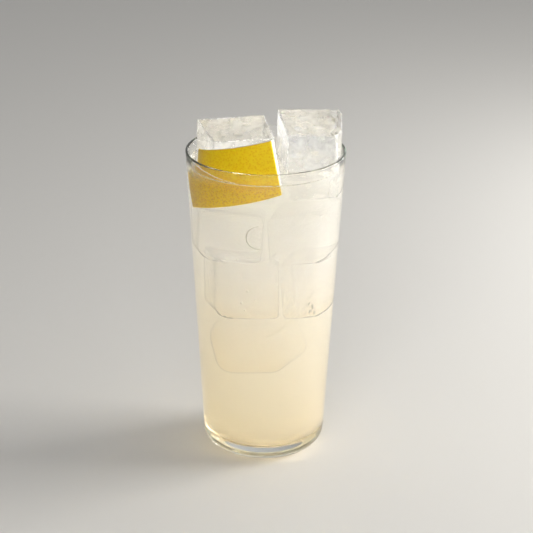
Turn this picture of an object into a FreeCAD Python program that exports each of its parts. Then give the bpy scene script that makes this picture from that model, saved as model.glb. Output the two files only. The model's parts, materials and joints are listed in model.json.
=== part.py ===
"""A tall tapered highball glass filled with a pale cloudy sparkling cocktail.

Two clear bar ice cubes stand out over the rim, and a rectangle of lemon peel is wedged upright between
the ice and the front of the glass, half in the drink. Each of these is a solid of its own:

    glass           soda-lime tumbler with a thick round-cornered base and a fire-polished lip
    drink           the liquid, from the inside of the base up to its level, cut round ice and peel
    ice_cube_left   cube with melted edges and a dished top, yawed so that its left side shows
    ice_cube_right  narrower cube that stands higher, melted to the curve of the wall at its corners
    lemon_peel      thin strip cut from the fruit, zest outwards, curled to the wall along its lower
                    edge and leaning back on the left-hand cube

Millimetres, +Z up, origin at the middle of the foot, on the surface that the glass stands on.
The front is -Y. Azimuths are in degrees from the front, positive towards +X.
"""

import FreeCAD, Part
import math
import os

from FreeCAD import Placement, Rotation, Vector

# ---- glass -----------------------------------------------------------------------------------------
GLASS_HEIGHT = 152.0
RIM_RADIUS = 38.0  # outside, at the lip
FOOT_RADIUS = 29.15  # outside, where the straight wall would meet the table without its round corner
RIM_WALL = 1.3
LOW_WALL = 2.0  # wall just above the base
BASE_THICKNESS = 7.0
OUTER_CORNER = 9.0
INNER_CORNER = 7.5

# ---- drink -----------------------------------------------------------------------------------------
LEVEL_BELOW_RIM = 7.0

# ---- ice -------------------------------------------------------------------------------------------
ICE_EDGE = 2.5  # radius of the melted edges
ICE_DISH = 1.0  # depth of the hollow in each top face
ICE_DISH_MARGIN = 4.0  # from the rim of that hollow to the nearest side of the cube
ICE_CLEARANCE = 0.3  # least room between ice and the glass, the peel or the other cube

# Each cube: its width at the front and at the back, for both have melted unevenly; its depth and its
# height; how far the middle of its top stands over the rim; where that middle lies, measured in from
# the wall along X and back from the middle of the glass along Y; its yaw, anticlockwise from above; how
# far it leans over to the right; and how far it tips forwards.
LEFT_ICE = dict(
    front_width=29.5, back_width=33.4, depth=30.0, height=31.0,
    proud=9.6, from_wall=-23.2, back=2.2, yaw=13.5, lean=0.0, tip=4.5,
)
RIGHT_ICE = dict(
    front_width=25.5, back_width=31.0, depth=31.5, height=32.0,
    proud=14.6, from_wall=15.0, back=-3.1, yaw=4.0, lean=1.0, tip=6.0,
)

# ---- lemon peel ------------------------------------------------------------------------------------
PEEL_LENGTH = 52.5
PEEL_WIDTH = 26.4
PEEL_THICKNESS = 2.0
PEEL_BEVEL = 1.6  # how much further the pith reaches than the zest at the right-hand cut
PEEL_AZIMUTH = -29.8  # the middle of its lower edge
PEEL_BELOW_RIM = 17.8  # the same point, measured down from the rim
PEEL_TILT = 16.3  # its right-hand end is lifted by this angle
PEEL_LEAN = 10.0  # its upper edge leans in, away from the wall and towards the ice
PEEL_WALL_GAP = 0.4  # film of drink between the wall and its lower edge

PEEL_SPANS = (16, 6)  # spans of its two curved faces, along and across


def wall_radius(z):
    """Outside radius of the straight wall at height z."""
    return FOOT_RADIUS + (RIM_RADIUS - FOOT_RADIUS) * z / GLASS_HEIGHT


def bore_radius(z):
    """Inside radius of the glass at height z. The wall thickens evenly from lip to base."""
    low = wall_radius(BASE_THICKNESS) - LOW_WALL
    top = RIM_RADIUS - RIM_WALL
    return low + (top - low) * (z - BASE_THICKNESS) / (GLASS_HEIGHT - BASE_THICKNESS)


def slope(radius_at):
    """How much a wall's radius grows for each millimetre of height."""
    return (radius_at(GLASS_HEIGHT) - radius_at(BASE_THICKNESS)) / (GLASS_HEIGHT - BASE_THICKNESS)


def corner(radius_at, floor, radius):
    """Round corner between a floor and the wall over it: its start on the floor, its middle, its end."""
    out = Vector(1, 0, -slope(radius_at)).normalize()
    centre = Vector(radius_at(floor + radius) - radius / out.x, 0, floor + radius)
    turn = math.atan2(out.z, out.x)
    halfway = (turn - math.pi / 2) / 2
    middle = centre + Vector(math.cos(halfway), 0, math.sin(halfway)) * radius
    return centre - Vector(0, 0, radius), middle, centre + out * radius


def revolved(edges):
    """Solid of revolution about Z of the closed outline that the edges make."""
    return Part.Face(Part.Wire(edges)).revolve(Vector(0, 0, 0), Vector(0, 0, 1), 360)


def line(start, end):
    return Part.LineSegment(start, end).toShape()


def arc(start, middle, end):
    return Part.Arc(start, middle, end).toShape()


def make_glass():
    lip = RIM_WALL / 2
    foot_start, foot_middle, foot_end = corner(wall_radius, 0, OUTER_CORNER)
    floor_start, floor_middle, floor_end = corner(bore_radius, BASE_THICKNESS, INNER_CORNER)
    lip_outside = Vector(wall_radius(GLASS_HEIGHT - lip), 0, GLASS_HEIGHT - lip)
    lip_top = Vector(RIM_RADIUS - lip, 0, GLASS_HEIGHT)
    lip_inside = Vector(bore_radius(GLASS_HEIGHT - lip), 0, GLASS_HEIGHT - lip)
    under = Vector(0, 0, 0)
    floor = Vector(0, 0, BASE_THICKNESS)
    return revolved([
        line(under, foot_start),
        arc(foot_start, foot_middle, foot_end),
        line(foot_end, lip_outside),
        arc(lip_outside, lip_top, lip_inside),
        line(lip_inside, floor_end),
        arc(floor_end, floor_middle, floor_start),
        line(floor_start, floor),
        line(floor, under),
    ])


def make_liquid():
    """What the glass holds up to its level, with nothing in it."""
    level = GLASS_HEIGHT - LEVEL_BELOW_RIM
    floor_start, floor_middle, floor_end = corner(bore_radius, BASE_THICKNESS, INNER_CORNER)
    floor = Vector(0, 0, BASE_THICKNESS)
    edge = Vector(bore_radius(level), 0, level)
    top = Vector(0, 0, level)
    return revolved([
        line(floor, floor_start),
        arc(floor_start, floor_middle, floor_end),
        line(floor_end, edge),
        line(edge, top),
        line(top, floor),
    ])


def cube_blank(front_width, back_width, depth, height, grow):
    """Cube with melted edges and a dished top, from the middle of its top downwards."""
    front = front_width / 2 + grow
    back = back_width / 2 + grow
    half_depth = depth / 2 + grow
    block = Part.makeWedge(
        -front, -half_depth, -height - grow, -height - grow, -back,
        front, half_depth, grow, grow, back,
    )
    cube = block.makeFillet(ICE_EDGE, block.Edges)
    dish = min(front_width, back_width, depth) / 2 - ICE_DISH_MARGIN
    ball = (dish**2 + ICE_DISH**2) / (2 * ICE_DISH)
    return cube.cut(Part.makeSphere(ball, Vector(0, 0, grow + ball - ICE_DISH)))


def make_cube(
    front_width, back_width, depth, height, proud, from_wall, back, yaw, lean, tip, grow=0.0
):
    """One cube where it stands, or with grow the same cube larger all round."""
    cube = cube_blank(front_width, back_width, depth, height, grow)
    sideways = math.copysign(bore_radius(GLASS_HEIGHT), from_wall) - from_wall
    turn = Rotation(Vector(0, 0, 1), yaw)
    turn = turn.multiply(Rotation(Vector(0, 1, 0), lean))
    turn = turn.multiply(Rotation(Vector(1, 0, 0), tip))
    cube.Placement = Placement(Vector(sideways, back, GLASS_HEIGHT + proud), turn)
    return cube


def ice_room():
    """The bore less the clearance, carried on upwards past the tops of the cubes."""
    top = GLASS_HEIGHT + LEFT_ICE["height"] + RIGHT_ICE["height"]
    return Part.makeCone(
        bore_radius(BASE_THICKNESS) - ICE_CLEARANCE,
        bore_radius(top) - ICE_CLEARANCE,
        top - BASE_THICKNESS,
        Vector(0, 0, BASE_THICKNESS),
    )


def peel_point(along, across, inside):
    """A point of the strip: along from its middle, across from its lower edge, inside its zest.

    The strip is laid on the bore, turned by its tilt, and then leans in from its lower edge.
    """
    tilt = math.radians(PEEL_TILT)
    lean = math.radians(PEEL_LEAN)
    rise = across * math.cos(lean)
    sideways = along * math.cos(tilt) - rise * math.sin(tilt)
    upwards = along * math.sin(tilt) + rise * math.cos(tilt)
    start = GLASS_HEIGHT - PEEL_BELOW_RIM
    z = start + upwards / math.hypot(1, slope(bore_radius))
    off_wall = PEEL_WALL_GAP + across * math.sin(lean)
    azimuth = math.radians(PEEL_AZIMUTH) + sideways / (bore_radius(start) - off_wall)
    radius = bore_radius(z) - off_wall - inside
    return Vector(radius * math.sin(azimuth), -radius * math.cos(azimuth), z)


def peel_face(inside, grow, bevel):
    """One of the strip's two curved faces, as a smooth surface."""
    spans_along, spans_across = PEEL_SPANS
    left = -PEEL_LENGTH / 2 - grow
    length = PEEL_LENGTH + bevel + 2 * grow
    width = PEEL_WIDTH + 2 * grow
    grid = [
        [
            peel_point(left + length * i / spans_along, width * j / spans_across - grow, inside)
            for j in range(spans_across + 1)
        ]
        for i in range(spans_along + 1)
    ]
    surface = Part.BSplineSurface()
    surface.interpolate(grid)
    return surface


def border(surface):
    """The four edges round a surface, in order."""
    first_u, last_u, first_v, last_v = surface.bounds()
    return [
        surface.vIso(first_v).toShape(),
        surface.uIso(last_u).toShape(),
        surface.vIso(last_v).toShape(),
        surface.uIso(first_u).toShape(),
    ]


def make_peel(grow=0.0):
    """The strip of peel, or with grow the same strip larger all round."""
    zest = peel_face(-grow, grow, 0)
    pith = peel_face(PEEL_THICKNESS + grow, grow, PEEL_BEVEL)
    faces = [zest.toShape(), pith.toShape()]
    for outer, inner in zip(border(zest), border(pith)):
        faces.append(Part.makeRuledSurface(outer, inner))
    shell = Part.makeShell(faces)
    shell.sewShape()
    solid = Part.makeSolid(shell)
    if solid.Volume < 0:
        solid.reverse()
    return solid


def largest(shape):
    """The biggest piece of a cut shape."""
    return max(shape.Solids, key=lambda solid: solid.Volume)


def main():
    peel = make_peel()
    peel_room = make_peel(ICE_CLEARANCE)
    left_room = make_cube(**LEFT_ICE, grow=ICE_CLEARANCE)
    left = largest(make_cube(**LEFT_ICE).common(ice_room()).cut(peel_room))
    right = largest(make_cube(**RIGHT_ICE).common(ice_room()).cut([peel_room, left_room]))
    parts = {
        "glass": make_glass(),
        "drink": largest(make_liquid().cut([left, right, peel])),
        "ice_cube_left": left,
        "ice_cube_right": right,
        "lemon_peel": peel,
    }
    os.makedirs("parts", exist_ok=True)
    for name, shape in parts.items():
        shape.exportStep(f"parts/{name}.step")
        solids = len(shape.Solids)
        print(f"{name}: {solids} solid, {shape.Volume / 1000:.2f} cm3, valid {shape.isValid()}")


main()
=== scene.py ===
# %% [markdown]
# # A french seventy-five in a highball glass
#
# The object is a tall tapered glass of pale, cloudy cocktail. Two clear ice cubes stand out over the rim,
# more ice is sunk in the drink, and a curled rectangle of lemon peel is wedged upright against the front
# wall. The frame already holds the true size and place of the glass, the drink, the two standing cubes and
# the peel. This script makes what the eye sees: smooth glass, liquid that creeps up where it meets a wall,
# wavy melting ice, dimpled zest and bubbles.

# %% Load the frame
import json
import math
import random

import bmesh
import bpy
from mathutils import Euler, Matrix, Vector, noise
from mathutils.bvhtree import BVHTree
from mathutils.kdtree import KDTree

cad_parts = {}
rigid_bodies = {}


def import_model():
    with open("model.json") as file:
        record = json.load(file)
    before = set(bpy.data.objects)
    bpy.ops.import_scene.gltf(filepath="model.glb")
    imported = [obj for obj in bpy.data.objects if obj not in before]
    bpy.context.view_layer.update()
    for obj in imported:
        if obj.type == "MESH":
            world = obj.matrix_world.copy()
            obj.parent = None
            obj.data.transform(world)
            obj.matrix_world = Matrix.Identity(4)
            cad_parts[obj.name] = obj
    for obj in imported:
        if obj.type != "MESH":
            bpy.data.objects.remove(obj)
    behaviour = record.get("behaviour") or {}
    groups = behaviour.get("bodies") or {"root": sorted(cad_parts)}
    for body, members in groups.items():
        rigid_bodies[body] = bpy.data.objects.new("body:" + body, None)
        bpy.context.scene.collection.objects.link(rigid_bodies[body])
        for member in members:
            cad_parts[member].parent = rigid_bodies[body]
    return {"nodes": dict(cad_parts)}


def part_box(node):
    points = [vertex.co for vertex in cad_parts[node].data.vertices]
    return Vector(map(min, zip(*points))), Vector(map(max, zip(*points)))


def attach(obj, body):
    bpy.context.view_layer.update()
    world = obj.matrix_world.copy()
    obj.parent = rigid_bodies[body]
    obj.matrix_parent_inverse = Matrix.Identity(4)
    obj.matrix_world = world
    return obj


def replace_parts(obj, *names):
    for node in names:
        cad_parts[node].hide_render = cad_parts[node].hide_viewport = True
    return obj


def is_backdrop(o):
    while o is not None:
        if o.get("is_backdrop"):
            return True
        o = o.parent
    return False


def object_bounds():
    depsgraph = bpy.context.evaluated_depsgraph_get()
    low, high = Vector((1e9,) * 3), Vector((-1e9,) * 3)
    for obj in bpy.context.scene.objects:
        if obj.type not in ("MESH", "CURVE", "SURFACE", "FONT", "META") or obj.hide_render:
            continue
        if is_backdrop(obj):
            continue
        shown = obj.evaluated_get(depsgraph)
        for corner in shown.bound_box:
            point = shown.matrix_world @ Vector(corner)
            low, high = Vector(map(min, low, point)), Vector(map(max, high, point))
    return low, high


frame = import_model()
cad_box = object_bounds()
print("nodes in the frame:", sorted(frame["nodes"]))

# %% [markdown]
# Blender works in metres, and everything on this object is easier to think of in millimetres, so one short
# function turns millimetres into metres. Heights that the pieces share are read from the frame and never
# typed in.

# %% Units and shared heights
def mm(length):
    return length / 1000


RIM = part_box("glass")[1].z
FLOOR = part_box("drink")[0].z
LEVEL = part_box("drink")[1].z
print(f"rim at {RIM * 1000:.1f} mm, level at {LEVEL * 1000:.1f} mm, inside floor at {FLOOR * 1000:.1f} mm")

# %% [markdown]
# ## Helpers for making pieces
#
# A piece starts as a bmesh, which operators shape, and ends as an object at the origin whose place is in
# its mesh. Smooth shading with a limit on the angle keeps round things round and leaves real edges crisp. A
# copy of a frame node is loose triangles, so its doubles are merged before anything else is done to it.

# %% From bmesh to piece, and from node to bmesh
MERGE = mm(0.002)


def placed(name, bm):
    """An object at the origin that holds this bmesh, which is used up."""
    mesh = bpy.data.meshes.new(name)
    bm.to_mesh(mesh)
    bm.free()
    piece = bpy.data.objects.new(name, mesh)
    bpy.context.scene.collection.objects.link(piece)
    return piece


def finished(name, bm, smooth_below):
    """A finished piece, smooth where its faces meet at less than this angle."""
    piece = placed(name, bm)
    piece.data.shade_smooth()
    piece.data.set_sharp_from_angle(angle=math.radians(smooth_below))
    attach(piece, "root")
    print(f"{name}: {len(piece.data.polygons)} faces")
    return piece


def node_copy(node):
    bm = bmesh.new()
    bm.from_mesh(frame["nodes"][node].data)
    bmesh.ops.remove_doubles(bm, verts=bm.verts, dist=MERGE)
    bm.normal_update()
    return bm


def tree_of(bm):
    """A search tree that tells how far a point is from a surface, and where a ray meets it."""
    bm.normal_update()
    return BVHTree.FromBMesh(bm)


# %% [markdown]
# Two modifiers do work that no single operator does. A voxel remesh turns any closed skin into even little
# faces, and a boolean difference cuts one closed skin out of another. Each is applied at once, so no piece
# keeps a modifier.

# %% Remesh, relax and cut
def applied(piece):
    """A bmesh of the piece with its modifiers applied. The piece is removed."""
    shape = piece.evaluated_get(bpy.context.evaluated_depsgraph_get())
    mesh = bpy.data.meshes.new_from_object(shape)
    bm = bmesh.new()
    bm.from_mesh(mesh)
    bpy.data.meshes.remove(mesh)
    bpy.data.objects.remove(piece)
    return bm


def remeshed(bm, voxel, relaxing):
    """The same skin in even little faces, with its steps relaxed away this many times."""
    piece = placed("blank", bm)
    even = piece.modifiers.new("even", "REMESH")
    even.mode = "VOXEL"
    even.voxel_size = voxel
    even_bm = applied(piece)
    for _ in range(relaxing):
        bmesh.ops.smooth_vert(
            even_bm, verts=even_bm.verts, factor=0.5, use_axis_x=True, use_axis_y=True, use_axis_z=True
        )
    even_bm.normal_update()
    return even_bm


def cut_out(bm, cutters):
    """Cuts all the cutters out of a body in one go."""
    piece = placed("whole", bm)
    knives = bpy.data.collections.new("knives")
    bpy.context.scene.collection.children.link(knives)
    for number, cutter in enumerate(cutters):
        knives.objects.link(placed(f"knife_{number}", cutter))
    cut = piece.modifiers.new("cut", "BOOLEAN")
    cut.operation = "DIFFERENCE"
    cut.solver = "EXACT"
    cut.operand_type = "COLLECTION"
    cut.collection = knives
    result = applied(piece)
    for knife in list(knives.objects):
        bpy.data.objects.remove(knife)
    bpy.data.collections.remove(knives)
    return result


# %% [markdown]
# ## The glass
#
# A machine-blown tumbler is a body of revolution, so its outline is spun round the Z axis. The outline is
# read from the frame: a level ray that comes from outside meets the outer wall, and one that starts at the
# axis meets the bore. Both corners and the fire-polished lip get closely spaced heights, because that is
# where the outline turns.

# %% Read the walls of the glass
glass_tree = tree_of(node_copy("glass"))
FAR = mm(60)


def outer_radius(z):
    return glass_tree.ray_cast(Vector((FAR, 0, z)), Vector((-1, 0, 0)))[0].x


def bore_radius(z):
    return glass_tree.ray_cast(Vector((0, 0, z)), Vector((1, 0, 0)))[0].x


for height in (20, 80, 140):
    outer = outer_radius(mm(height))
    bore = bore_radius(mm(height))
    print(f"at {height} mm: {outer * 1000:.2f} outside, {bore * 1000:.2f} inside")

# %% [markdown]
# The heights crowd together at both ends of the wall, where the corners and the lip turn. The very ends
# stay a few thousandths of a millimetre off the true rim and foot, so that every ray still meets a wall.

# %% Draw the outline of the glass
SKIN = mm(0.004)
CORNER = mm(9.5)
LIP = mm(0.7)
STRAIGHT = [mm(height) for height in (30, 60, 90, 120)]
CORNER_STEPS = 14
LIP_STEPS = 6


def eased(start, end, steps):
    """Heights from start to end, closest together at start."""
    shares = [1 - math.cos(step / steps * math.pi / 2) for step in range(steps + 1)]
    return [start + (end - start) * share for share in shares]


lip = eased(RIM - SKIN, RIM - LIP, LIP_STEPS)
outside = eased(SKIN, CORNER, CORNER_STEPS) + STRAIGHT + lip[::-1]
inside = lip + STRAIGHT[::-1] + eased(FLOOR + SKIN, FLOOR + CORNER, CORNER_STEPS)[::-1]
glass_outline = [(outer_radius(z), z) for z in outside] + [(bore_radius(z), z) for z in inside]
print(f"an outline of {len(glass_outline)} points")

# %% [markdown]
# A spin sweeps the outline round the axis. Its two ends are first brought in to the axis, so that the skin
# closes in a pole at each of them. Doubles are merged there before the normals are turned outwards.

# %% Spin it
GLASS_TURNS = 160


def spun(outline, turns):
    """A closed skin of revolution. The two ends of the outline are brought in to the axis."""
    bm = bmesh.new()
    points = [(0, outline[0][1])] + outline + [(0, outline[-1][1])]
    chain = [bm.verts.new((radius, 0, z)) for radius, z in points]
    edges = [bm.edges.new(pair) for pair in zip(chain, chain[1:])]
    bmesh.ops.spin(
        bm, geom=chain + edges, cent=(0, 0, 0), axis=(0, 0, 1), angle=math.tau, steps=turns, use_merge=True
    )
    bmesh.ops.remove_doubles(bm, verts=bm.verts, dist=MERGE)
    bmesh.ops.recalc_face_normals(bm, faces=bm.faces)
    return bm


tumbler = finished("tumbler", spun(glass_outline, GLASS_TURNS), smooth_below=40)
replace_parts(tumbler, "glass")

# %% [markdown]
# ## The standing ice
#
# Bar ice is cast in a mould, so it has six flat sides that meet in crisp edges, which the melt has only
# just broken. The frame knows those sides. The six widest sides of each cube are read from it, a block is
# cut flat along all six, and its edges get a small bevel. The frame's own edges are rounder, so nothing
# gets bigger than its sides allow.

# %% Read the sides of a cube
SAME_SIDE = 0.985


def six_sides(bm):
    """The six widest sides of a skin. Each is a normal and how far the side lies out along it."""
    sums = []
    for face in sorted(bm.faces, key=lambda face: face.calc_area(), reverse=True):
        push = face.normal * face.calc_area()
        for total in sums:
            if total.normalized().dot(face.normal) > SAME_SIDE:
                total += push
                break
        else:
            sums.append(push)
    widest = sorted(sums, key=lambda total: total.length, reverse=True)[:6]
    normals = [total.normalized() for total in widest]
    return [(normal, max(vert.co.dot(normal) for vert in bm.verts)) for normal in normals]


sides_of = {node: six_sides(node_copy(node)) for node in ("ice_cube_left", "ice_cube_right")}
for node, sides in sides_of.items():
    print(node, [f"{reach * 1000:.1f} mm" for normal, reach in sides])

# %% [markdown]
# The block starts as a cube far bigger than the ice. A bisect clears away all that lies outside one side
# and leaves an open rim, which one new face closes, and that happens six times. Last, a bevel breaks the
# edges.

# %% Cut a block along its sides
CRISP_EDGE = mm(1.0)
BLANK = mm(90)


def cut_block(node):
    low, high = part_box(node)
    bm = bmesh.new()
    bmesh.ops.create_cube(bm, size=BLANK, matrix=Matrix.Translation((low + high) / 2))
    for normal, reach in sides_of[node]:
        everything = bm.verts[:] + bm.edges[:] + bm.faces[:]
        cut = bmesh.ops.bisect_plane(
            bm, geom=everything, plane_co=normal * reach, plane_no=normal, clear_outer=True
        )
        rim = [part for part in cut["geom_cut"] if isinstance(part, bmesh.types.BMEdge)]
        bmesh.ops.contextual_create(bm, geom=rim)
    bmesh.ops.recalc_face_normals(bm, faces=bm.faces)
    bmesh.ops.bevel(
        bm, geom=bm.edges[:], offset=CRISP_EDGE, segments=3, profile=0.5, affect="EDGES", material=-1
    )
    return bm


# %% [markdown]
# Clear ice shows itself only by how it bends light, so its waviness is most of what the eye sees. Each skin
# is remeshed to even little faces and noise then melts it away from its full size, in long waves and short
# ripples. The top melts fastest: a shallow hollow with faint rings settles in it. Where a cube leans on the
# wall it is worn to fit.

# %% Melt a cube
LONG_WAVE = mm(11)
SHORT_WAVE = mm(2.6)
HOLLOW = mm(0.9)
HOLLOW_REACH = mm(17)
RING_WIDTH = mm(4.2)
RING_HEIGHT = mm(0.035)
RING_FADE = 4
FACES_UP = 0.8


def melted(bm, seed, wave, ripple):
    shift = Vector((seed * 7.3, seed * 3.1, seed * 5.7))
    for vert in bm.verts:
        long_part = 0.5 + 0.5 * noise.noise(vert.co / LONG_WAVE + shift)
        short_part = 0.5 + 0.5 * noise.noise(vert.co / SHORT_WAVE + shift)
        vert.co -= vert.normal * (long_part * wave + short_part * ripple)
    bm.normal_update()
    return bm


def hollowed(bm, top, middle):
    """Melts a shallow ringed hollow into the top side, round this middle."""
    for vert in bm.verts:
        if vert.normal.dot(top) > FACES_UP:
            off = vert.co - middle
            off -= top * off.dot(top)
            share = max(0.0, 1 - (off.length / HOLLOW_REACH) ** 2)
            rings = math.cos(off.length / RING_WIDTH * math.tau) * RING_HEIGHT
            vert.co -= top * (HOLLOW * share + rings * min(share * RING_FADE, 1))
    return bm


def worn_to_wall(bm, gap):
    """Draws in whatever comes closer to the wall of the glass than this gap."""
    for vert in bm.verts:
        limit = bore_radius(min(max(vert.co.z, FLOOR + CORNER), RIM - LIP)) - gap
        radius = vert.co.xy.length
        if radius > limit:
            vert.co.xy *= limit / radius
    return bm


# %% [markdown]
# Edges are the first thing to chip and frost over, so they show as white lines. How close each point is to
# an edge is stored as an attribute for the material: a point near an edge lies close to two of the six
# sides at once.

# %% Find the edges
EDGE_BAND = mm(1.3)


def mark_edges(bm, sides):
    layer = bm.verts.layers.float.new("edge")
    for vert in bm.verts:
        depths = sorted(reach - vert.co.dot(normal) for normal, reach in sides)
        vert[layer] = max(0.0, 1 - depths[1] / EDGE_BAND)
    return bm


# %% [markdown]
# The steps come in this order: cut, remesh, mark the edges while they are still true, melt, hollow, and
# wear to the wall. Each row gives a seed for the waves, and how many millimetres the middle of the hollow
# lies to the right of the middle of the cube and behind it.

# %% Make the standing cubes
STANDING = {"ice_cube_left": (3, (-5, 4)), "ice_cube_right": (5, (4, -3))}
STANDING_FINE = mm(0.5)
STANDING_WAVE = mm(0.28)
STANDING_RIPPLE = mm(0.04)
STANDING_GAP = mm(0.12)

standing_skins = {}
for node, (seed, (across, back)) in STANDING.items():
    low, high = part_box(node)
    top = max((normal for normal, reach in sides_of[node]), key=lambda normal: normal.z)
    skin = mark_edges(remeshed(cut_block(node), STANDING_FINE, relaxing=1), sides_of[node])
    skin = melted(skin, seed, STANDING_WAVE, STANDING_RIPPLE)
    middle = (low + high) / 2 + Vector((mm(across), mm(back), 0))
    skin = worn_to_wall(hollowed(skin, top, middle), STANDING_GAP)
    for vert in skin.verts:
        vert.co.z = min(vert.co.z, high.z)
    standing_skins[node] = skin
    print(f"{node}: a skin of {len(skin.verts)} points")

# %% [markdown]
# ## The sunken ice
#
# The rest of the ice floats, so it is packed under the standing cubes and leaves the bottom of the glass to
# the liquid. Each sunken cube is a box with its edges rounded by a bevel, turned a little, and worn to the
# curve of the wall where it leans on it. The lower ice went in first and has melted rounder. The rows give
# the middle, the sides, the turns about Z, X and Y in degrees, and how far the edges have melted round.

# %% Pack the sunken ice
SUNKEN = (
    ((-15.0, -11.5, 115.5), (30, 29, 25), (-4, -4, 3), 3.6),
    ((16.5, -10.5, 116.0), (28, 29, 25), (-9, 4, -3), 3.6),
    ((2.0, 18.5, 115.0), (34, 24, 24), (5, 4, 2), 3.0),
    ((-8.5, -14.5, 91.5), (29, 28, 30), (4, 0, 0), 2.4),
    ((20.5, -7.5, 89.5), (26, 29, 29), (-5, 2, -3), 2.4),
    ((1.0, 16.5, 90.0), (33, 20, 25), (-14, 4, 5), 3.0),
    ((-3.5, -3.5, 57.0), (31, 29, 26), (-22, 9, -11), 7.0),
    ((7.0, 17.0, 62.0), (25, 15, 24), (31, -8, 12), 5.0),
)
SUNKEN_GAP = mm(0.6)
SUNKEN_FINE = mm(0.8)
SUNKEN_WAVE = mm(0.5)
SUNKEN_RIPPLE = mm(0.12)
FIRST_SEED = 11


def box_of_ice(middle, sides, turns, edge):
    bm = bmesh.new()
    bmesh.ops.create_cube(bm, size=1)
    bmesh.ops.scale(bm, vec=[mm(side) for side in sides], verts=bm.verts)
    bmesh.ops.bevel(
        bm, geom=bm.edges[:], offset=mm(edge), segments=6, profile=0.5, affect="EDGES", material=-1
    )
    turned = Matrix()
    for axis, angle in zip("ZXY", turns):
        turned = turned @ Matrix.Rotation(math.radians(angle), 4, axis)
    bm.transform(Matrix.Translation([mm(part) for part in middle]) @ turned)
    return bm


def sunken_skin(row, seed):
    skin = remeshed(box_of_ice(*row), SUNKEN_FINE, relaxing=2)
    return worn_to_wall(melted(skin, seed, SUNKEN_WAVE, SUNKEN_RIPPLE), SUNKEN_GAP)


sunken_skins = [sunken_skin(row, FIRST_SEED + number) for number, row in enumerate(SUNKEN)]
print(f"{len(sunken_skins)} sunken cubes")

# %% [markdown]
# ## Lemon peel
#
# The peel was sliced off the fruit with a knife: a thin yellow skin full of little oil glands over soft
# white pith. The glands are shallow dimples about a millimetre apart, and they catch the light, so they are
# modelled in the mesh. How deep each point lies under the skin is stored as an attribute, which later tells
# yellow zest from white pith. It is measured from the back: a ray goes in towards the axis, and the pith it
# crosses is what is left behind a point.

# %% Measure how deep each point lies
ZEST = mm(0.55)
PROBE = mm(0.1)
PEEL_FINE = mm(0.25)
MOST = 0.9

peel_skin = remeshed(node_copy("lemon_peel"), PEEL_FINE, relaxing=1)
peel_tree = tree_of(peel_skin)


def behind(vert):
    """How much peel lies between a point and the back of the peel."""
    inwards = -Vector((vert.co.x, vert.co.y, 0)).normalized()
    hit = peel_tree.ray_cast(vert.co - vert.normal * PROBE, inwards)
    return hit[3] if hit[0] else 0.0


left_behind = [behind(vert) for vert in peel_skin.verts]
thickness = sorted(left_behind)[int(len(left_behind) * MOST)]
depth_layer = peel_skin.verts.layers.float.new("pith")
for vert, rest in zip(peel_skin.verts, left_behind):
    vert[depth_layer] = max(0.0, (thickness - rest) / ZEST)
print(f"the peel is {thickness * 1000:.2f} mm thick")

# %% [markdown]
# The wet peel sticks to the glass below the level of the drink, so its skin is pressed towards the wall
# there. It moves 2 mm at most, so the far left end, which stands about 3 mm off before the press, is still
# about 1 mm off after it. Higher up the peel stands free. Every point moves as far as the nearest point of
# the yellow face does, so the peel keeps its thickness, and the press fades in over a few millimetres. The
# printed gap is the one before the press.

# %% Press the wet part of the peel to the wall
WALL_FILM = mm(0.06)
PRESS = mm(2.0)
FADE = mm(4)
FADE_TOP = LEVEL + mm(1)
FACES_WALL = 0.9
YELLOW = 0.5


def wall_gap(point):
    return bore_radius(min(point.z, RIM - LIP)) - point.xy.length


peel_skin.normal_update()
yellow_face = []
for vert in peel_skin.verts:
    outwards = Vector((vert.co.x, vert.co.y, 0)).normalized()
    if vert[depth_layer] < YELLOW and vert.normal.dot(outwards) > FACES_WALL:
        yellow_face.append(vert.co.copy())
nearby = KDTree(len(yellow_face))
for number, point in enumerate(yellow_face):
    nearby.insert(point, number)
nearby.balance()
wet_gaps = [wall_gap(point) for point in yellow_face if point.z < LEVEL - FADE]
print(f"wet skin is {min(wet_gaps) * 1000:.2f} to {max(wet_gaps) * 1000:.2f} mm off the wall")
for vert in peel_skin.verts:
    wet_share = min(max((FADE_TOP - vert.co.z) / FADE, 0), 1)
    if wet_share > 0:
        in_front = nearby.find(vert.co)[0]
        move = min(max(wall_gap(in_front) - WALL_FILM, 0), PRESS) * wet_share
        vert.co.xy *= 1 + move / vert.co.xy.length
peel_skin.normal_update()

# %% [markdown]
# An oil gland sits at each point of a Voronoi pattern, and the skin sinks in round it. Pith has no glands,
# so the dimples fade out with depth. A slow swelling keeps the skin between them from looking machined.

# %% Dimple the zest
GLAND_SPACING = mm(1.05)
GLAND_DEPTH = mm(0.13)
GLAND_REACH = 0.62
GLAND_CURVE = 1.5
ZEST_FADE = 1.6
SWELL = mm(7)
SWELL_HEIGHT = mm(0.06)

moves = []
for vert in peel_skin.verts:
    zest_share = min(max(ZEST_FADE - vert[depth_layer] * ZEST_FADE, 0), 1)
    to_gland = noise.voronoi(vert.co / GLAND_SPACING, distance_metric="DISTANCE")[0][0]
    dimple = max(0.0, 1 - to_gland / GLAND_REACH) ** GLAND_CURVE
    swelling = noise.noise(vert.co / SWELL) * SWELL_HEIGHT
    moves.append(vert.normal * ((swelling - GLAND_DEPTH * dimple) * zest_share))
for vert, move in zip(peel_skin.verts, moves):
    vert.co += move
peel_tree = tree_of(peel_skin)
print(f"peel skin of {len(peel_skin.verts)} points")

# %% [markdown]
# ## The drink
#
# The liquid is one body that fills the glass up to its level. Its outline follows the bore and reaches a
# little way into the wall, so that no film of air shows between them. Water wets glass, ice and peel, so
# its surface creeps up wherever it meets them, and that bright curved edge is what makes a waterline show.

# %% Outline of the drink
BITE = mm(0.08)
RISE = mm(1.5)
CREEP = mm(1.3)
RING = mm(0.55)
FOOT_INSET = mm(0.3)
DRINK_TURNS = 220


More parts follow.
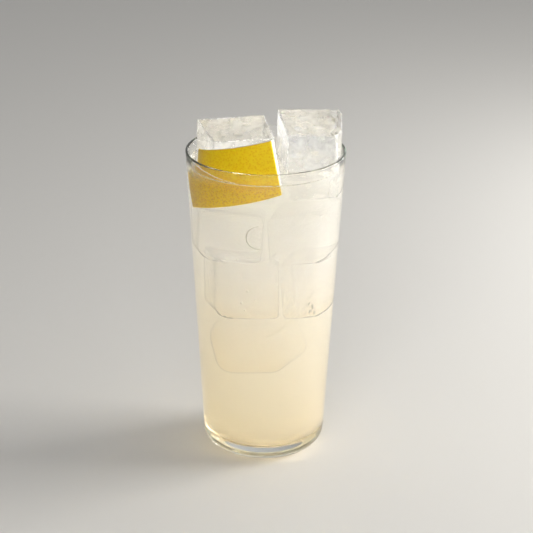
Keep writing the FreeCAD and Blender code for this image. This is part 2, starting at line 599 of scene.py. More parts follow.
def creep(distance):
    """How far above its level the liquid stands this far from a wet wall."""
    return RISE * math.exp(-distance / CREEP)


rings = int((bore_radius(LEVEL) - RING) / RING)
walls = eased(FLOOR + SKIN, FLOOR + CORNER, CORNER_STEPS) + STRAIGHT
drink_outline = [(bore_radius(FLOOR + SKIN) - FOOT_INSET, FLOOR - BITE)]
drink_outline += [(bore_radius(z) + BITE, z) for z in walls]
drink_outline.append((bore_radius(LEVEL) + BITE, LEVEL + creep(0)))
drink_outline += [(bore_radius(LEVEL) - RING * ring, LEVEL + creep(RING * ring)) for ring in range(rings)]
liquid = spun(drink_outline, DRINK_TURNS)
print(f"liquid skin of {len(liquid.verts)} points")

# %% [markdown]
# The same curve lifts the surface round the standing ice and the peel. Each point of the open surface asks
# how far off the nearest wet thing is, and rises by what the curve says.

# %% Let the surface creep up ice and peel
SURFACE_BAND = mm(0.01)
WALL_STRIP = mm(0.2)
CREEP_REACH = CREEP * 5

wet = [tree_of(skin) for skin in standing_skins.values()] + [peel_tree]
for vert in liquid.verts:
    if vert.co.z > LEVEL - SURFACE_BAND and vert.co.xy.length < bore_radius(LEVEL) - WALL_STRIP:
        base = Vector((vert.co.x, vert.co.y, LEVEL))
        nearest = [tree.find_nearest(base, CREEP_REACH)[3] for tree in wet]
        rises = [creep(distance) for distance in nearest if distance is not None]
        vert.co.z = max([vert.co.z] + [LEVEL + rise for rise in rises])
print(f"the surface reaches up to {max(vert.co.z for vert in liquid.verts) * 1000:.1f} mm")

# %% [markdown]
# Ice and peel are wet all over, so their skins reach a little way into the drink and no air shows between
# them. The rooms are cut with coarser copies of the skins, because nobody sees the difference and the
# cutting is much faster.

# %% Cut the room for ice and peel
POCKET = mm(0.1)
ICE_COARSE = mm(1.1)
PEEL_COARSE = mm(0.6)


def drawn_in(bm, depth):
    """A copy of a skin drawn in by this depth."""
    copy = bm.copy()
    copy.normal_update()
    for vert in copy.verts:
        vert.co -= vert.normal * depth
    return copy


ice_skins = list(standing_skins.values()) + sunken_skins
cutters = [remeshed(skin.copy(), ICE_COARSE, relaxing=0) for skin in ice_skins]
cutters.append(remeshed(peel_skin.copy(), PEEL_COARSE, relaxing=0))
liquid = cut_out(liquid, [drawn_in(cutter, POCKET) for cutter in cutters])
print(f"after cutting: {len(liquid.verts)} points")

# %% [markdown]
# ## Gas in the drink and in the ice
#
# A bubble is a hole, so each is a little sphere whose faces are turned to look inwards, joined to the skin
# of the body it lies in. Gas comes out of the drink as bubbles that cling to the ice. Ice traps its gas as
# fine needles and as flat cracks, and those give clear ice its white streaks. The sphere is made once and
# joined in many times over, because an operator that works in a big mesh gets slower with all that is
# already there.

# %% Balls and hollows
chance = random.Random(75)


def ball_mesh(name, hollow):
    """A ball of radius 1. The faces of a hollow one look inwards."""
    bm = bmesh.new()
    bmesh.ops.create_uvsphere(bm, u_segments=8, v_segments=5, radius=1)
    if hollow:
        bmesh.ops.reverse_faces(bm, faces=bm.faces)
    mesh = bpy.data.meshes.new(name)
    bm.to_mesh(mesh)
    bm.free()
    return mesh


BEAD = ball_mesh("bead", hollow=False)
HOLE = ball_mesh("hole", hollow=True)


def join_ball(bm, template, middle, sizes, turn=Euler()):
    """Joins a ball of these half sizes to a body."""
    copy = template.copy()
    copy.transform(Matrix.Translation(middle) @ turn.to_matrix().to_4x4() @ Matrix.Diagonal([*sizes, 1]))
    bm.from_mesh(copy)
    bpy.data.meshes.remove(copy)


# %% [markdown]
# Bubbles cling to the outward sides of the sunken ice. A ray that goes in from the wall at a random angle
# and height finds the ice, and the bubble sits just off it. Where the ice leans on the wall there is no
# room for one, and the next place is tried.

# %% Bubbles in the drink
BUBBLY_CUBES = 7
BUBBLES_A_CUBE = 12
BUBBLE_OFF = mm(0.75)
FREE_ROOM = 3
END_MARGIN = mm(3)
OFF_WALL = mm(0.3)


def clinging_spots(skin, count, off):
    """Places on the outward side of a sunken skin, each this far off it."""
    tree = tree_of(skin)
    low = min(vert.co.z for vert in skin.verts) + END_MARGIN
    high = max(vert.co.z for vert in skin.verts) - END_MARGIN
    spots = []
    while len(spots) < count:
        angle = chance.uniform(0, math.tau)
        z = chance.uniform(low, high)
        outwards = Vector((math.sin(angle), -math.cos(angle), 0))
        start = outwards * (bore_radius(z) - OFF_WALL) + Vector((0, 0, z))
        hit = tree.ray_cast(start, -outwards, bore_radius(z))
        if hit[0] and hit[3] > off * FREE_ROOM:
            spots.append(hit[0] + outwards * off)
    return spots


bubbles = 0
for skin in sunken_skins[:BUBBLY_CUBES]:
    for spot in clinging_spots(skin, BUBBLES_A_CUBE, BUBBLE_OFF):
        size = mm(chance.uniform(0.2, 0.5))
        join_ball(liquid, HOLE, spot, (size, size, size))
        bubbles += 1
print(f"{bubbles} bubbles on the ice")
cocktail = finished("cocktail", liquid, smooth_below=50)
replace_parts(cocktail, "drink")

# %% [markdown]
# As a cube freezes, the ice pushes its gas before it and traps it at last. Fine needles stand upright just
# under the left side, thicker ones stand anywhere, thin discs are cracks, and one larger flat hollow lies
# near the top. Their places are given as shares of the way from the middle of the cube to three of its
# sides.

# %% Needles and cracks in the standing ice
SIDE_NEEDLES = 34
NEEDLES = 12
CRACKS = 6
HALF_CUBE = mm(15)


def inner_axes(node):
    """The axes of a cube: out of its left side, out of its front and out of its top."""
    normals = [normal for normal, reach in sides_of[node]]
    left = min(normals, key=lambda normal: normal.x)
    front = min(normals, key=lambda normal: normal.y)
    top = max(normals, key=lambda normal: normal.z)
    return left, front, top


def inside_point(node, shares):
    """A point in a cube, given as shares of the way from its middle to its left, front and top sides."""
    low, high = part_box(node)
    steps = [axis * share * HALF_CUBE for axis, share in zip(inner_axes(node), shares)]
    return (low + high) / 2 + sum(steps, Vector())


def uniform_mm(low, high):
    """A random length between these two, which are in millimetres."""
    return mm(chance.uniform(low, high))


for node, skin in standing_skins.items():
    left, front, top = inner_axes(node)
    upright = top.to_track_quat("Z", "Y").to_euler()
    for _ in range(SIDE_NEEDLES):
        shares = (chance.uniform(0.72, 0.86), chance.uniform(-0.7, 0.75), chance.uniform(-0.5, 0.6))
        sizes = (uniform_mm(0.05, 0.12), uniform_mm(0.05, 0.2), uniform_mm(0.8, 3.2))
        join_ball(skin, HOLE, inside_point(node, shares), sizes, upright)
    for _ in range(NEEDLES):
        shares = [chance.uniform(-0.7, 0.7) for _ in range(3)]
        sizes = (uniform_mm(0.1, 0.24), uniform_mm(0.06, 0.16), uniform_mm(0.5, 2.5))
        join_ball(skin, HOLE, inside_point(node, shares), sizes, upright)
    for _ in range(CRACKS):
        shares = [chance.uniform(-0.6, 0.6) for _ in range(3)]
        sizes = (uniform_mm(1.0, 3.0), mm(0.06), uniform_mm(1.0, 3.0))
        turn = Euler([chance.uniform(-0.6, 0.6) for _ in range(3)])
        join_ball(skin, HOLE, inside_point(node, shares), sizes, turn)
    fold_sizes = (mm(0.3), mm(1.2), mm(2.6))
    join_ball(skin, HOLE, inside_point(node, (0.1, 0.2, 0.7)), fold_sizes, Euler((0.1, 0.05, 0)))

# %% [markdown]
# The skins are complete, so they become pieces. A piece that stands for a node of the frame hides that node.

# %% Finish the ice and the peel
for node, skin in standing_skins.items():
    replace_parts(finished("melting_" + node, skin, smooth_below=60), node)
for number, skin in enumerate(sunken_skins, start=1):
    finished(f"sunken_ice_{number}", skin, smooth_below=60)
zest_strip = finished("zest_strip", peel_skin, smooth_below=50)
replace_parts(zest_strip, "lemon_peel")

# %% [markdown]
# ## Foam and painted highlights
#
# A sparkling drink leaves a thin line of very fine foam where its surface meets the wall. In front of the
# peel the drink also climbs the narrow gap between peel and glass, so a second line rises there towards the
# left. Each line is a row of tiny white beads, which read as one bright thread from a little way off. The
# beads are partly foam and partly a painted highlight, for the light that the curved edge of the liquid
# throws back.

# %% Foam and painted highlight at the waterline
BEAD_STEP = mm(0.3)
BEAD_SCATTER = 0.08
PEEL_SPAN = (-75, 22)
CLIMB_SPAN = (-66, -22)


def bead_at(bm, angle, z, size):
    """A bead of foam that touches the inside of the wall. The angle counts from the front to the right."""
    reach = bore_radius(z) - size
    turn = math.radians(angle)
    middle = Vector((math.sin(turn) * reach, -math.cos(turn) * reach, z))
    join_ball(bm, BEAD, middle, (size, size, size))


def bead_line(bm, start, end, height_at, low, high, keep):
    """A row of beads between two angles at a height above the level, with this share of its places filled."""
    steps = int(math.radians(end - start) * bore_radius(LEVEL) / BEAD_STEP)
    for step in range(steps):
        angle = start + (end - start) * step / steps
        z = LEVEL + mm(height_at(angle) + chance.uniform(-BEAD_SCATTER, BEAD_SCATTER))
        size = mm(chance.uniform(low, high))
        if chance.random() < keep(angle):
            bead_at(bm, angle, z, size)


def waterline(angle):
    """Where the drink has crept up the wall, in millimetres above the level."""
    return 1.15


def climbing_line(angle):
    """The line in the gap in front of the peel rises from its right end to its left end."""
    left, right = CLIMB_SPAN
    return 1.6 + 4.2 * ((right - angle) / (right - left)) ** 1.4


def waterline_share(angle):
    """The line is nearly unbroken in front of the peel, and half gone elsewhere."""
    return 0.95 if PEEL_SPAN[0] < angle < PEEL_SPAN[1] else 0.5


# Painted highlight: the white beads along the waterline also stand for the bright line of light at the
# meniscus.
beads = bmesh.new()
bead_line(beads, -180, 180, waterline, 0.13, 0.27, waterline_share)
bead_line(beads, *CLIMB_SPAN, climbing_line, 0.12, 0.24, lambda angle: 0.9)
print(f"{len(beads.verts)} points of foam at the waterline")

# %% [markdown]
# Below the level, foam rises along the wall in the cleft of the front cubes, and a streak of it has
# gathered where it is caught under the right-hand one. These white beads are also painted highlights: they
# stand for the bright glints of bubbles against the wall. The rows give the angle, the height and the radius
# of the larger beads.

# %% Foam and painted bubble highlights by the sunken ice
RISING = (
    (-22, 108.5, 0.4), (-19, 99.5, 0.45), (-16, 97.0, 0.3), (-14, 92.6, 0.55), (-7.5, 88.4, 0.6),
    (-19.5, 86.2, 0.7), (-16.5, 82.6, 0.6), (-10, 85.0, 0.35), (-12.5, 80.4, 0.4), (-5, 91.0, 0.3),
)
STREAK_STEPS = 300
STREAK_START = (-2, 68.5)
STREAK_SPAN = (34, 12.5)

# Painted highlight: these white beads also stand for the glints of bubbles.
for angle, height, radius in RISING:
    bead_at(beads, angle, mm(height), mm(radius))
for step in range(STREAK_STEPS):
    share = chance.random()
    angle = STREAK_START[0] + STREAK_SPAN[0] * share
    height = STREAK_START[1] + STREAK_SPAN[1] * share**1.4 + chance.gauss(0, 0.45)
    bead_at(beads, angle, mm(height), uniform_mm(0.06, 0.16))
foam_and_highlight_beads = finished("foam_and_highlight_beads", beads, smooth_below=80)

# %% [markdown]
# ## Lemon pulp
#
# A few flecks of pulp came in with the juice and lie against the wall, together with one loose fibre that
# is bent like a C. They are opaque and a little greyer than the drink. The fibre is a small circle spun
# round a middle. The rows give how far each fleck lies to the right of the middle, its height, its radius
# and its lean in degrees.

# %% Pulp
FLECKS = (
    (20.4, 83.6, 0.7, 25),
    (21.9, 81.4, 1.0, -10),
    (20.8, 79.4, 0.8, 35),
    (22.8, 77.9, 0.7, 5),
    (28.2, 137.6, 0.7, -15),
    (28.9, 135.0, 0.5, 10),
)
FIBRE_MIDDLE = (-3.0, 120.3)
FIBRE_BEND = mm(5.6)
FIBRE_WIDTH = mm(0.2)
FIBRE_TURN = math.radians(190)
FIBRE_OFF = 0.75
FLECK_SHAPE = (0.6, 0.5, 1.5)


def by_the_wall(across, height, radius):
    """A point on the inside of the front wall, just far enough in for a ball of this radius."""
    reach = bore_radius(mm(height)) - mm(radius)
    return Vector((mm(across), -math.sqrt(reach**2 - mm(across) ** 2), mm(height)))


pulp = bmesh.new()
middle = by_the_wall(*FIBRE_MIDDLE, FIBRE_OFF)
start = Matrix.Translation(middle + Vector((0, 0, FIBRE_BEND))) @ Matrix.Rotation(math.pi / 2, 4, "Y")
bmesh.ops.create_circle(pulp, cap_ends=False, radius=FIBRE_WIDTH, segments=8, matrix=start)
bmesh.ops.spin(
    pulp, geom=pulp.verts[:] + pulp.edges[:], cent=middle, axis=(0, -1, 0), angle=FIBRE_TURN, steps=40
)
bmesh.ops.holes_fill(pulp, edges=pulp.edges, sides=8)
bmesh.ops.recalc_face_normals(pulp, faces=pulp.faces)
for across, height, radius, lean in FLECKS:
    sizes = [mm(radius) * share for share in FLECK_SHAPE]
    join_ball(pulp, BEAD, by_the_wall(across, height, radius), sizes, Euler((0, math.radians(lean), 0)))
lemon_pulp = finished("lemon_pulp", pulp, smooth_below=80)

# %% [markdown]
# ## Colours and nodes
#
# Colours are written as sRGB hex codes, the way a paint program shows them, and one function turns them
# into the linear values that sockets take. One more adds a node with its settings and joins its inputs, and
# a third starts a material. Patterns are sized by the real spacing of what they stand for.

# %% Node helpers
def linear(code):
    """An sRGB hex colour as the linear values that Blender's sockets take."""
    parts = [int(code[i : i + 2], 16) / 255 for i in (0, 2, 4)]
    return [part / 12.92 if part <= 0.04045 else ((part + 0.055) / 1.055) ** 2.4 for part in parts] + [1]


def add(tree, kind, inputs=None, **settings):
    """Adds a node, with its settings, and gives each input a value or another node's output."""
    made = tree.nodes.new(kind)
    for name, value in settings.items():
        setattr(made, name, value)
    for name, value in (inputs or {}).items():
        if isinstance(value, bpy.types.NodeSocket):
            tree.links.new(value, made.inputs[name])
        else:
            made.inputs[name].default_value = value
    return made


def new_material(name):
    """An empty material and its node tree."""
    print("material", name)
    material = bpy.data.materials.new(name)
    material.use_nodes = True
    material.node_tree.nodes.clear()
    return material, material.node_tree


def per_metre(spacing):
    """The Scale of a texture whose pattern repeats about every spacing metres."""
    return 1 / spacing


MIX_FACTOR, MIX_FIRST, MIX_SECOND, MIX_RESULT = 0, 6, 7, 2

# %% [markdown]
# ### Glass
#
# Soda-lime glass bends light with an index of 1.52 and drinks a trace of red and blue, which turns its
# thick foot and its edges a little green. Drawn glass is never quite flat, and a faint bump gives it slow
# ripples.

# %% Glass
glass, tree = new_material("soda_lime_glass")
place = add(tree, "ShaderNodeTexCoord").outputs["Object"]
ripples = add(tree, "ShaderNodeTexNoise", {"Vector": place, "Scale": per_metre(mm(18)), "Detail": 1.0})
drawn = add(
    tree, "ShaderNodeBump", {"Height": ripples.outputs["Fac"], "Strength": 0.25, "Distance": mm(0.15)}
)
surface = add(
    tree,
    "ShaderNodeBsdfPrincipled",
    {
        "Base Color": linear("FFFFFF"),
        "Roughness": 0.0,
        "IOR": 1.52,
        "Transmission Weight": 1.0,
        "Normal": drawn.outputs["Normal"],
    },
)
tint = add(tree, "ShaderNodeVolumeAbsorption", {"Color": linear("DDEBE2"), "Density": 5.0})
add(tree, "ShaderNodeOutputMaterial", {"Surface": surface.outputs[0], "Volume": tint.outputs[0]})
tumbler.data.materials.append(glass)

# %% [markdown]
# ### Ice
#
# Ice bends light with an index of 1.31. Both kinds here are clear bar ice with a wet, finely rippled skin.
# Under the drink that is nearly all there is to it. A thin white haze inside stands for gas too fine to
# model, and makes the sunken cubes a little paler than the yellow drink round them.

# %% Wet ice
def ice_skin(tree, strength):
    """The fine ripples in the skin of wet ice, as a normal."""
    place = add(tree, "ShaderNodeTexCoord").outputs["Object"]
    fine = add(tree, "ShaderNodeTexNoise", {"Vector": place, "Scale": per_metre(mm(2.2)), "Detail": 3.0})
    bump = add(
        tree, "ShaderNodeBump", {"Height": fine.outputs["Fac"], "Strength": strength, "Distance": mm(0.12)}
    )
    return place, bump.outputs["Normal"]


wet_ice, tree = new_material("wet_bar_ice")
place, ripples = ice_skin(tree, 0.3)
surface = add(
    tree,
    "ShaderNodeBsdfPrincipled",
    {
        "Base Color": linear("FFFFFF"),
        "Roughness": 0.0,
        "IOR": 1.31,
        "Transmission Weight": 1.0,
        "Normal": ripples,
    },
)
haze = add(tree, "ShaderNodeVolumeScatter", {"Color": linear("FFFFFF"), "Density": 40.0, "Anisotropy": 0.3})
add(tree, "ShaderNodeOutputMaterial", {"Surface": surface.outputs[0], "Volume": haze.outputs[0]})

# %% [markdown]
# In the air the ice also grows rime, a white skin of fine frost. It sits in soft patches on the front and
# the back, which are rough from the mould, and along the chipped edges, which the edge attribute marks. The
# rest stays clear.

# %% Rime on the sides
rimed_ice, tree = new_material("rimed_bar_ice")
place, ripples = ice_skin(tree, 0.2)
patches = add(tree, "ShaderNodeTexNoise", {"Vector": place, "Scale": per_metre(mm(6)), "Detail": 5.0})
patch = add(
    tree,
    "ShaderNodeMapRange",
    {"Value": patches.outputs["Fac"], "From Min": 0.35, "From Max": 0.65, "To Min": 0.12, "To Max": 0.5},
)
facing = add(tree, "ShaderNodeNewGeometry").outputs["Normal"]
along_y = add(tree, "ShaderNodeSeparateXYZ", {"Vector": facing}).outputs["Y"]
forward = add(tree, "ShaderNodeMath", {0: along_y}, operation="ABSOLUTE")
on_side = add(
    tree,
    "ShaderNodeMapRange",
    {"Value": forward.outputs[0], "From Min": 0.55, "From Max": 0.9, "To Min": 0.05, "To Max": 1.0},
)
side_rime = add(
    tree, "ShaderNodeMath", {0: patch.outputs["Result"], 1: on_side.outputs["Result"]}, operation="MULTIPLY"
)

# %% [markdown]
# Noise with a grain of about a millimetre and a half breaks the edge attribute up into chips. The stronger
# of the two kinds of rime counts at each place.

# %% Rime along the edges
edge = add(tree, "ShaderNodeAttribute", attribute_name="edge").outputs["Fac"]
chips = add(tree, "ShaderNodeTexNoise", {"Vector": place, "Scale": per_metre(mm(1.6)), "Detail": 2.0})
chipped = add(
    tree,
    "ShaderNodeMapRange",
    {"Value": chips.outputs["Fac"], "From Min": 0.35, "From Max": 0.55, "To Min": 0.25, "To Max": 1.0},
)
edge_rime = add(tree, "ShaderNodeMath", {0: edge, 1: chipped.outputs["Result"]}, operation="MULTIPLY")
rime = add(tree, "ShaderNodeMath", {0: side_rime.outputs[0], 1: edge_rime.outputs[0]}, operation="MAXIMUM")

# %% [markdown]
# Where rime lies, the skin is rough and little light goes straight through, so it reads as white frost.

# %% Skin of the rimed ice
clear = add(tree, "ShaderNodeMapRange", {"Value": rime.outputs[0], "To Min": 1.0, "To Max": 0.15})
frost = add(tree, "ShaderNodeMapRange", {"Value": rime.outputs[0], "To Min": 0.0, "To Max": 0.5})
surface = add(
    tree,
    "ShaderNodeBsdfPrincipled",
    {
        "Base Color": linear("FFFFFF"),
        "Roughness": frost.outputs["Result"],
        "IOR": 1.31,
        "Transmission Weight": clear.outputs["Result"],
        "Normal": ripples,
    },
)
haze = add(tree, "ShaderNodeVolumeScatter", {"Color": linear("FFFFFF"), "Density": 1.5, "Anisotropy": 0.3})
add(tree, "ShaderNodeOutputMaterial", {"Surface": surface.outputs[0], "Volume": haze.outputs[0]})

for piece in bpy.context.scene.objects:
    if piece.name.startswith("melting_"):
        piece.data.materials.append(rimed_ice)
    if piece.name.startswith("sunken_"):
        piece.data.materials.append(wet_ice)

# %% [markdown]
# ### The drink
#
# Lemon juice makes gin and champagne cloudy: light scatters forward many times before it leaves, and each
# bit of the way costs some blue. That is a true fog in a clear liquid, so the look is a clear skin over a
# volume that scatters and absorbs. The base colour warms towards the bottom: a painted shade for the dimmer,
# yellower light low in the glass.

# %% Drink
drink, tree = new_material("cloudy_lemon_gin_and_champagne")
place = add(tree, "ShaderNodeTexCoord").outputs["Object"]
height = add(tree, "ShaderNodeSeparateXYZ", {"Vector": place}).outputs["Z"]
# Painted shade: the tint warms towards the bottom of the drink, where less light reaches.
painted_bottom_shade = add(tree, "ShaderNodeMapRange", {"Value": height, "From Min": mm(100), "From Max": mm(15)})
hue = add(
    tree,
    "ShaderNodeMix",
    {MIX_FACTOR: painted_bottom_shade.outputs["Result"], MIX_FIRST: linear("FFFEFC"), MIX_SECOND: linear("FFF5E0")},
    data_type="RGBA",
)
surface = add(
    tree,
    "ShaderNodeBsdfPrincipled",
    {"Base Color": hue.outputs[MIX_RESULT], "Roughness": 0.0, "IOR": 1.34, "Transmission Weight": 1.0},
)
cloud = add(tree, "ShaderNodeVolumeScatter", {"Color": linear("FFFFFF"), "Density": 85.0, "Anisotropy": 0.5})
juice = add(tree, "ShaderNodeVolumeAbsorption", {"Color": linear("E9E2BD"), "Density": 6.8})
both = add(tree, "ShaderNodeAddShader", {0: cloud.outputs[0], 1: juice.outputs[0]})
add(tree, "ShaderNodeOutputMaterial", {"Surface": surface.outputs[0], "Volume": both.outputs[0]})
cocktail.data.materials.clear()
cocktail.data.materials.append(drink)

# %% [markdown]
# ### Foam and painted highlights
#
# Foam is white because every bubble wall sends some light back. The beads stand for bubbles far too small
# to model, and their white is also a painted highlight for the light that bubbles and the meniscus catch.

# %% Foam and painted highlights
foam_and_highlights, tree = new_material("white_foam_and_painted_highlights")
place = add(tree, "ShaderNodeTexCoord").outputs["Object"]
cells = add(tree, "ShaderNodeTexVoronoi", {"Vector": place, "Scale": per_metre(mm(0.12))})
froth = add(
    tree, "ShaderNodeBump", {"Height": cells.outputs["Distance"], "Strength": 0.5, "Distance": mm(0.03)}
)
# Painted highlight: plain white beads where bubbles and the meniscus catch light, as well as foam.
surface = add(
    tree,
    "ShaderNodeBsdfPrincipled",
    {
        "Base Color": linear("FFFCF2"),
        "Roughness": 0.25,
        "Subsurface Weight": 0.5,
        "Subsurface Radius": (1.0, 0.9, 0.7),
        "Subsurface Scale": mm(0.4),
        "Normal": froth.outputs["Normal"],
    },
)
add(tree, "ShaderNodeOutputMaterial", {"Surface": surface.outputs[0]})
foam_and_highlight_beads.data.materials.append(foam_and_highlights)

# %% [markdown]
# ### Pulp
#
# Pulp is soft and wet, and a shade greyer than the drink round it, which is why it can be seen at all.

# %% Pulp
pulp_grey, tree = new_material("wet_lemon_pulp")
place = add(tree, "ShaderNodeTexCoord").outputs["Object"]
threads = add(tree, "ShaderNodeTexNoise", {"Vector": place, "Scale": per_metre(mm(0.6)), "Detail": 2.0})
shade = add(
    tree,
    "ShaderNodeMix",
    {MIX_FACTOR: threads.outputs["Fac"], MIX_FIRST: linear("A3A39A"), MIX_SECOND: linear("D0CEC2")},
    data_type="RGBA",
)
surface = add(
    tree,
    "ShaderNodeBsdfPrincipled",
    {
        "Base Color": shade.outputs[MIX_RESULT],
        "Roughness": 0.4,
        "Subsurface Weight": 0.2,
        "Subsurface Scale": mm(0.5),
    },
)
add(tree, "ShaderNodeOutputMaterial", {"Surface": surface.outputs[0]})
lemon_pulp.data.materials.append(pulp_grey)

# %% [markdown]
# ### Lemon peel
#
# Zest is a clear bright yellow with no blue in it, and pith is a soft white. The first cell finds where each
# lies: the attribute tells pith from zest, the glands come from the same spacing as their dimples, and the
# height tells the soaked part from the dry one.

# %% Places on the peel
peel, tree = new_material("lemon_zest_and_pith")
place = add(tree, "ShaderNodeTexCoord").outputs["Object"]
depth = add(tree, "ShaderNodeAttribute", attribute_name="pith").outputs["Fac"]
is_pith = add(tree, "ShaderNodeMapRange", {"Value": depth, "From Min": 0.85, "From Max": 1.15})
glands = add(tree, "ShaderNodeTexVoronoi", {"Vector": place, "Scale": per_metre(GLAND_SPACING)})
between = add(
    tree, "ShaderNodeMapRange", {"Value": glands.outputs["Distance"], "From Min": 0.1, "From Max": 0.6}
)
height = add(tree, "ShaderNodeSeparateXYZ", {"Vector": place}).outputs["Z"]
soaked = add(
    tree,
    "ShaderNodeMapRange",
    {"Value": height, "From Min": LEVEL + mm(1), "From Max": LEVEL - mm(2), "To Min": 0.0, "To Max": 0.45},
)

# %% [markdown]
# The glands are a touch deeper in colour and the skin between them a touch lighter, with slow blotches over
# both. In the soaked part the skin between the glands is paler, which makes up for the deeper look that any
# wet skin has. There the glands are painted much deeper: a painted shade that stands in for the shade in
# their dimples, which the liquid fills and hides.

# %% Colours of the peel
# Below the level the glands get a painted shade, deeper than their own colour, for the shade of the dimples
# that the liquid hides.
gland_colour_and_dimple_shade = add(
    tree,
    "ShaderNodeMix",
    {MIX_FACTOR: soaked.outputs["Result"], MIX_FIRST: linear("EEBA00"), MIX_SECOND: linear("B47C00")},
    data_type="RGBA",
)
skin_colour = add(
    tree,
    "ShaderNodeMix",
    {
        MIX_FACTOR: between.outputs["Result"],
        MIX_FIRST: gland_colour_and_dimple_shade.outputs[MIX_RESULT],
        MIX_SECOND: linear("FFDF24"),
    },
    data_type="RGBA",
)
blotch = add(tree, "ShaderNodeTexNoise", {"Vector": place, "Scale": per_metre(mm(8)), "Detail": 2.0})
even = add(tree, "ShaderNodeMapRange", {"Value": blotch.outputs["Fac"], "To Min": 0.1, "To Max": 0.6})
blotched = add(
    tree,
    "ShaderNodeMix",
    {
        MIX_FACTOR: even.outputs["Result"],
        MIX_FIRST: skin_colour.outputs[MIX_RESULT],
        MIX_SECOND: linear("F8C800"),
    },
    data_type="RGBA",
)
soaked_skin = add(
    tree, "ShaderNodeMath", {0: soaked.outputs["Result"], 1: between.outputs["Result"]}, operation="MULTIPLY"
)
zest = add(
    tree,
    "ShaderNodeMix",
    {
        MIX_FACTOR: soaked_skin.outputs[0],
        MIX_FIRST: blotched.outputs[MIX_RESULT],
        MIX_SECOND: linear("FFE600"),
    },
    data_type="RGBA",
)
colour = add(
    tree,
    "ShaderNodeMix",
    {
        MIX_FACTOR: is_pith.outputs["Result"],
        MIX_FIRST: zest.outputs[MIX_RESULT],
        MIX_SECOND: linear("FBF8EC"),
    },
    data_type="RGBA",
)

# %% [markdown]
# The skin is oily, so it shines softly. Some light goes in and comes out again close by, more red than blue,
# which makes the peel glow a little from inside. A fine grain keeps the shine from looking like plastic.

# %% Skin of the peel
fine = add(tree, "ShaderNodeTexNoise", {"Vector": place, "Scale": per_metre(mm(0.5)), "Detail": 2.0})
grain = add(tree, "ShaderNodeBump", {"Height": fine.outputs["Fac"], "Strength": 0.35, "Distance": mm(0.05)})
surface = add(
    tree,
    "ShaderNodeBsdfPrincipled",
    {
        "Base Color": colour.outputs[MIX_RESULT],
        "Roughness": 0.36,
        "IOR": 1.45,
        "Specular IOR Level": 0.25,
        "Subsurface Weight": 0.25,
        "Subsurface Radius": (1.0, 0.75, 0.1),
        "Subsurface Scale": mm(0.8),
        "Normal": grain.outputs["Normal"],
    },
)
add(tree, "ShaderNodeOutputMaterial", {"Surface": surface.outputs[0]})
zest_strip.data.materials.append(peel)

# %% [markdown]
# ## Stage
#
# A sheet of pale paper is the floor, large enough for any view. Its tooth is drawn coarser than real, or it
# would not show.

# %% Floor
FLOOR_HALF = 6

plane = bmesh.new()
bmesh.ops.create_grid(plane, x_segments=1, y_segments=1, size=FLOOR_HALF)
floor = placed("floor", plane)
paper, tree = new_material("pale_paper")
place = add(tree, "ShaderNodeTexCoord").outputs["Object"]
fibre = add(tree, "ShaderNodeTexNoise", {"Vector": place, "Scale": per_metre(mm(3)), "Detail": 2.0})
tooth = add(tree, "ShaderNodeBump", {"Height": fibre.outputs["Fac"], "Strength": 0.1, "Distance": mm(0.1)})
surface = add(
    tree,
    "ShaderNodeBsdfPrincipled",
    {"Base Color": linear("D4D2CE"), "Roughness": 0.6, "Normal": tooth.outputs["Normal"]},
)
add(tree, "ShaderNodeOutputMaterial", {"Surface": surface.outputs[0]})
floor.data.materials.append(paper)
floor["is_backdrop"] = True

# %% [markdown]
# Clear things need surroundings that change from one side to the other, or they vanish. So the sky of this
# studio is bright behind and to the right, and falls off towards the front left.

# %% Sky
BRIGHT_WAY = Vector((0.9, 0.4, 0.3)).normalized()
world = bpy.data.worlds.new("studio")
bpy.context.scene.world = world
world.use_nodes = True
tree = world.node_tree
tree.nodes.clear()
way = add(tree, "ShaderNodeTexCoord").outputs["Generated"]
along = add(tree, "ShaderNodeVectorMath", {0: way, 1: BRIGHT_WAY}, operation="DOT_PRODUCT")
glow = add(
    tree,
    "ShaderNodeMapRange",
    {"Value": along.outputs["Value"], "From Min": -0.8, "From Max": 0.95, "To Min": 0.07, "To Max": 0.58},
)
sky = add(tree, "ShaderNodeBackground", {"Color": (1, 1, 1, 1), "Strength": glow.outputs["Result"]})
add(tree, "ShaderNodeOutputWorld", {"Surface": sky.outputs[0]})

# %% [markdown]
# The key is a soft box to the right, which lights the cloudy drink through the wall, so that it glows on
# that side. A weaker one fills the front for the peel. A small flat one stands low behind on the right and
# puts a glint in the foot of the glass. All three point at the middle of the glass.

# %% Soft boxes
AIM = Vector((0, 0, mm(80)))


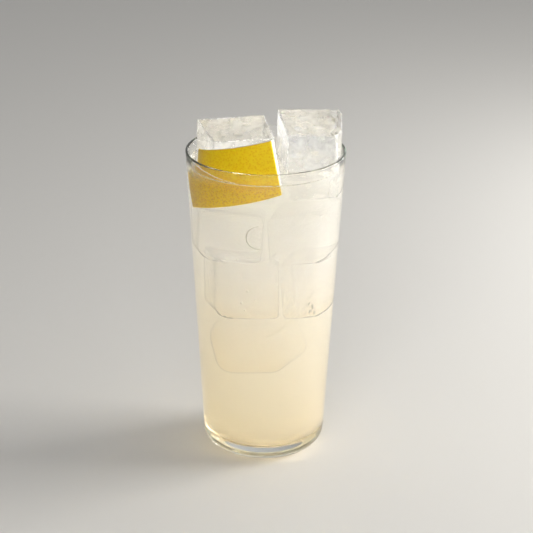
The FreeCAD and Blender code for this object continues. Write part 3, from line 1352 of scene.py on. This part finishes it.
def softbox(name, place, size, power, colour):
    data = bpy.data.lights.new(name, "AREA")
    data.shape = "RECTANGLE"
    data.size, data.size_y = size
    data.energy = power
    data.color = linear(colour)[:3]
    lamp = bpy.data.objects.new(name, data)
    lamp.location = place
    lamp.rotation_euler = (AIM - Vector(place)).to_track_quat("-Z", "Y").to_euler()
    bpy.context.scene.collection.objects.link(lamp)


softbox("key", (0.8, 0.15, 0.28), (0.5, 0.5), 10.6, "FFFDF8")
softbox("fill", (-0.1, -1.0, 0.6), (0.6, 0.6), 4.8, "FFFFFF")
softbox("rim", (0.5, 0.35, 0.06), (0.3, 0.1), 1.2, "FFFFFF")

# %% [markdown]
# ## Camera
#
# The camera looks down on the glass from in front, from about 0.95 m away with a long lens.

# %% Camera
CAMERA_PLACE = (mm(0.79), mm(-850), mm(435.1))
LOOKS_DOWN = 21.97
ROLL = 0.5

camera_data = bpy.data.cameras.new("camera")
camera_data.sensor_width = 36
camera_data.lens = 128.1
camera_data.clip_start = 0.01
camera = bpy.data.objects.new("camera", camera_data)
camera.location = CAMERA_PLACE
tilt = Matrix.Rotation(math.radians(90 - LOOKS_DOWN), 4, "X")
roll = Matrix.Rotation(math.radians(ROLL), 4, "Z")
camera.rotation_euler = (tilt @ roll).to_euler()
bpy.context.scene.collection.objects.link(camera)
bpy.context.scene.camera = camera
bpy.context.scene.view_settings.view_transform = "Standard"

# %% [markdown]
# Light in a cloudy drink behind glass and ice turns many corners before it comes out. Few bounces would
# leave it grey, so the limits are high, and no light is thrown away by blurring its glossy part.

# %% Bounces of light
cycles = bpy.context.scene.cycles
cycles.max_bounces = 64
cycles.transmission_bounces = 64
cycles.glossy_bounces = 64
cycles.volume_bounces = 32
cycles.diffuse_bounces = 6
cycles.blur_glossy = 0.0

# %% [markdown]
# Last, the box round the finished pieces is kept in one table next to the frame's own, so that the two can be
# compared.

# %% Finish
visual_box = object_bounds()
sizes = {"cad": [list(corner) for corner in cad_box], "visual": [list(corner) for corner in visual_box]}
